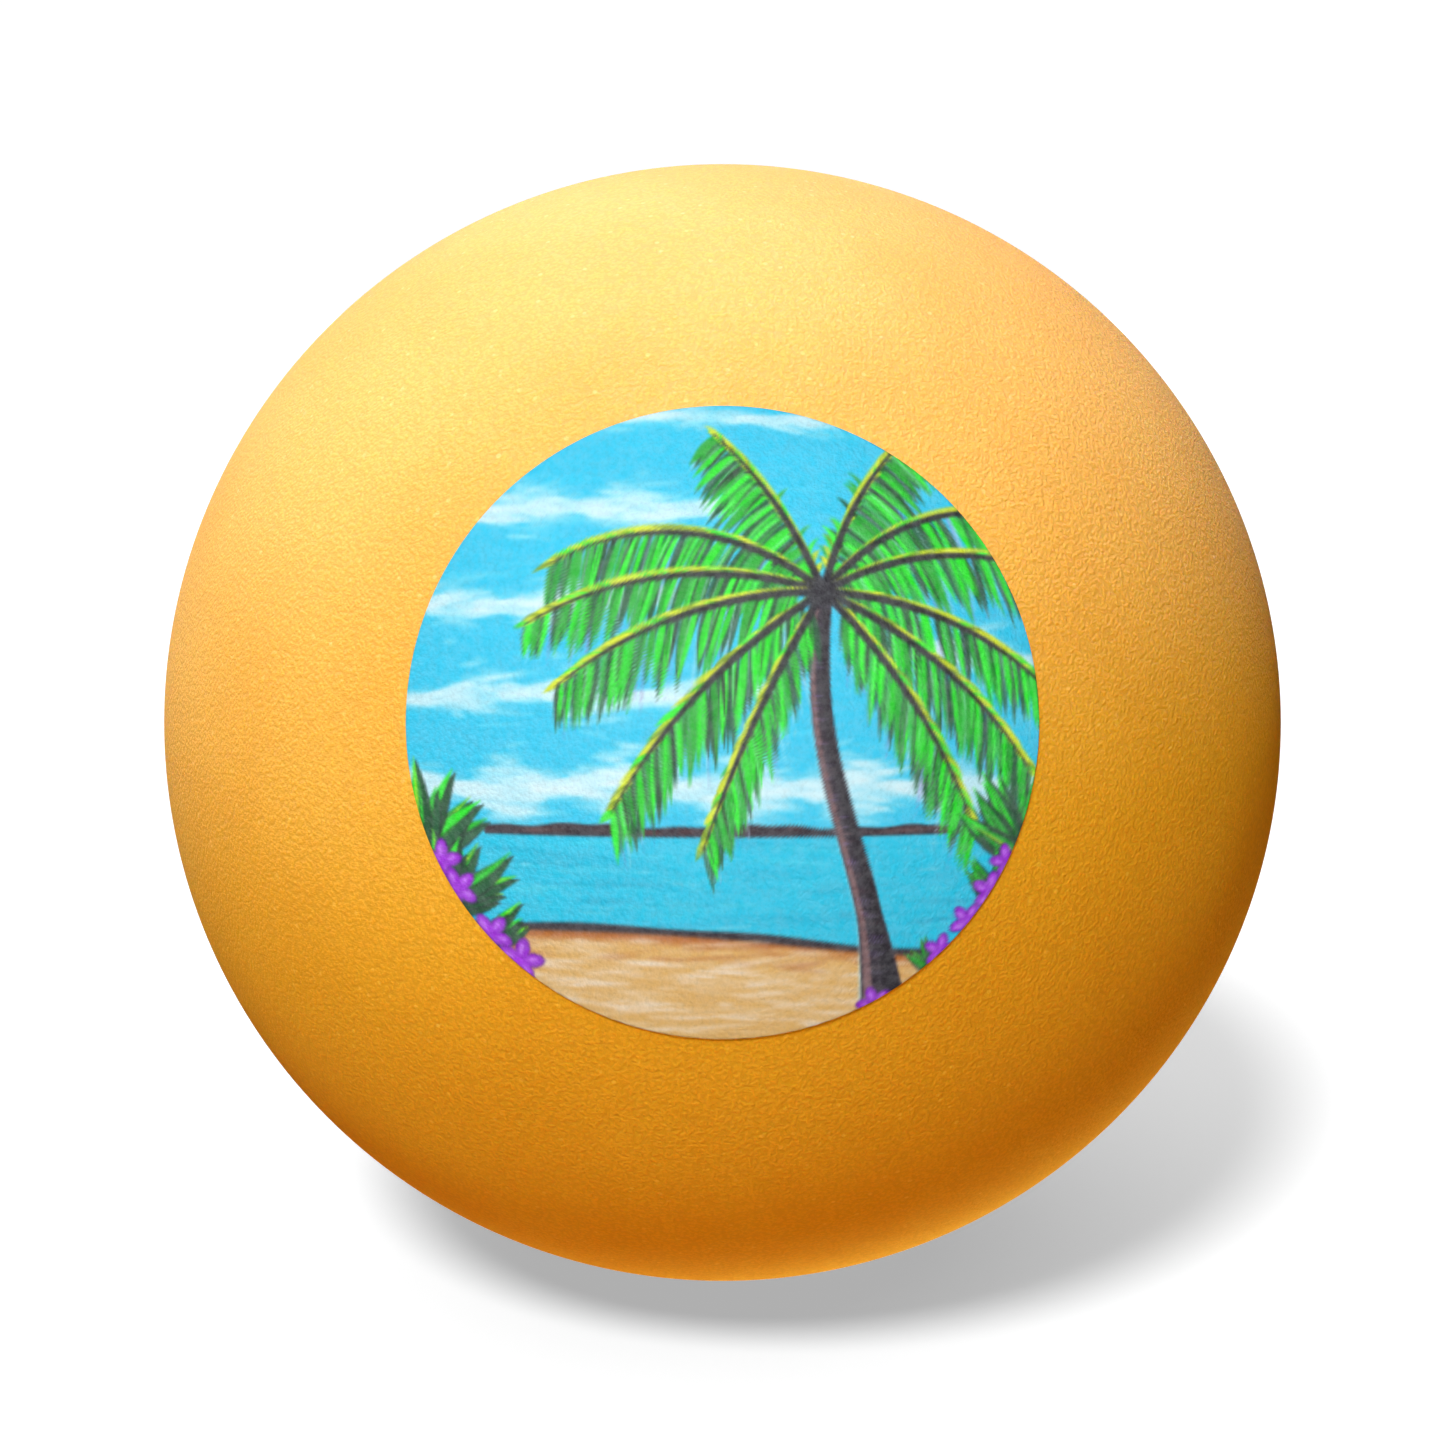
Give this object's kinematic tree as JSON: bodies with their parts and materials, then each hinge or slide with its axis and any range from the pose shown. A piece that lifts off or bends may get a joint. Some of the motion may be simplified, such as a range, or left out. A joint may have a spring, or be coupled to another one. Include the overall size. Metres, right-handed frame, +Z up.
{
  "type": "table tennis ball",
  "caption": "Hollow seamed plastic ball for table tennis, matt orange with a fine grain and a round colour print on one side.",
  "frame": {"origin": "centre of the ball", "axes": "+Z up as the ball rests, -Y towards the printed side. The pole axis through the print stands 11.2 degrees above -Y, and the seam lies square to it."},
  "size_m": [0.04, 0.0401, 0.04],
  "materials": {
    "orange_plastic": "matt, fine grain",
    "seam_cement": "matt",
    "white_ink": "matt",
    "colour_ink": "matt"
  },
  "bodies": {
    "root": {"front_half_shell": "orange_plastic", "rear_half_shell": "orange_plastic", "seam_cement": "seam_cement", "print_white_base": "white_ink", "print_colour_ink": "colour_ink"}
  },
  "joints": []
}
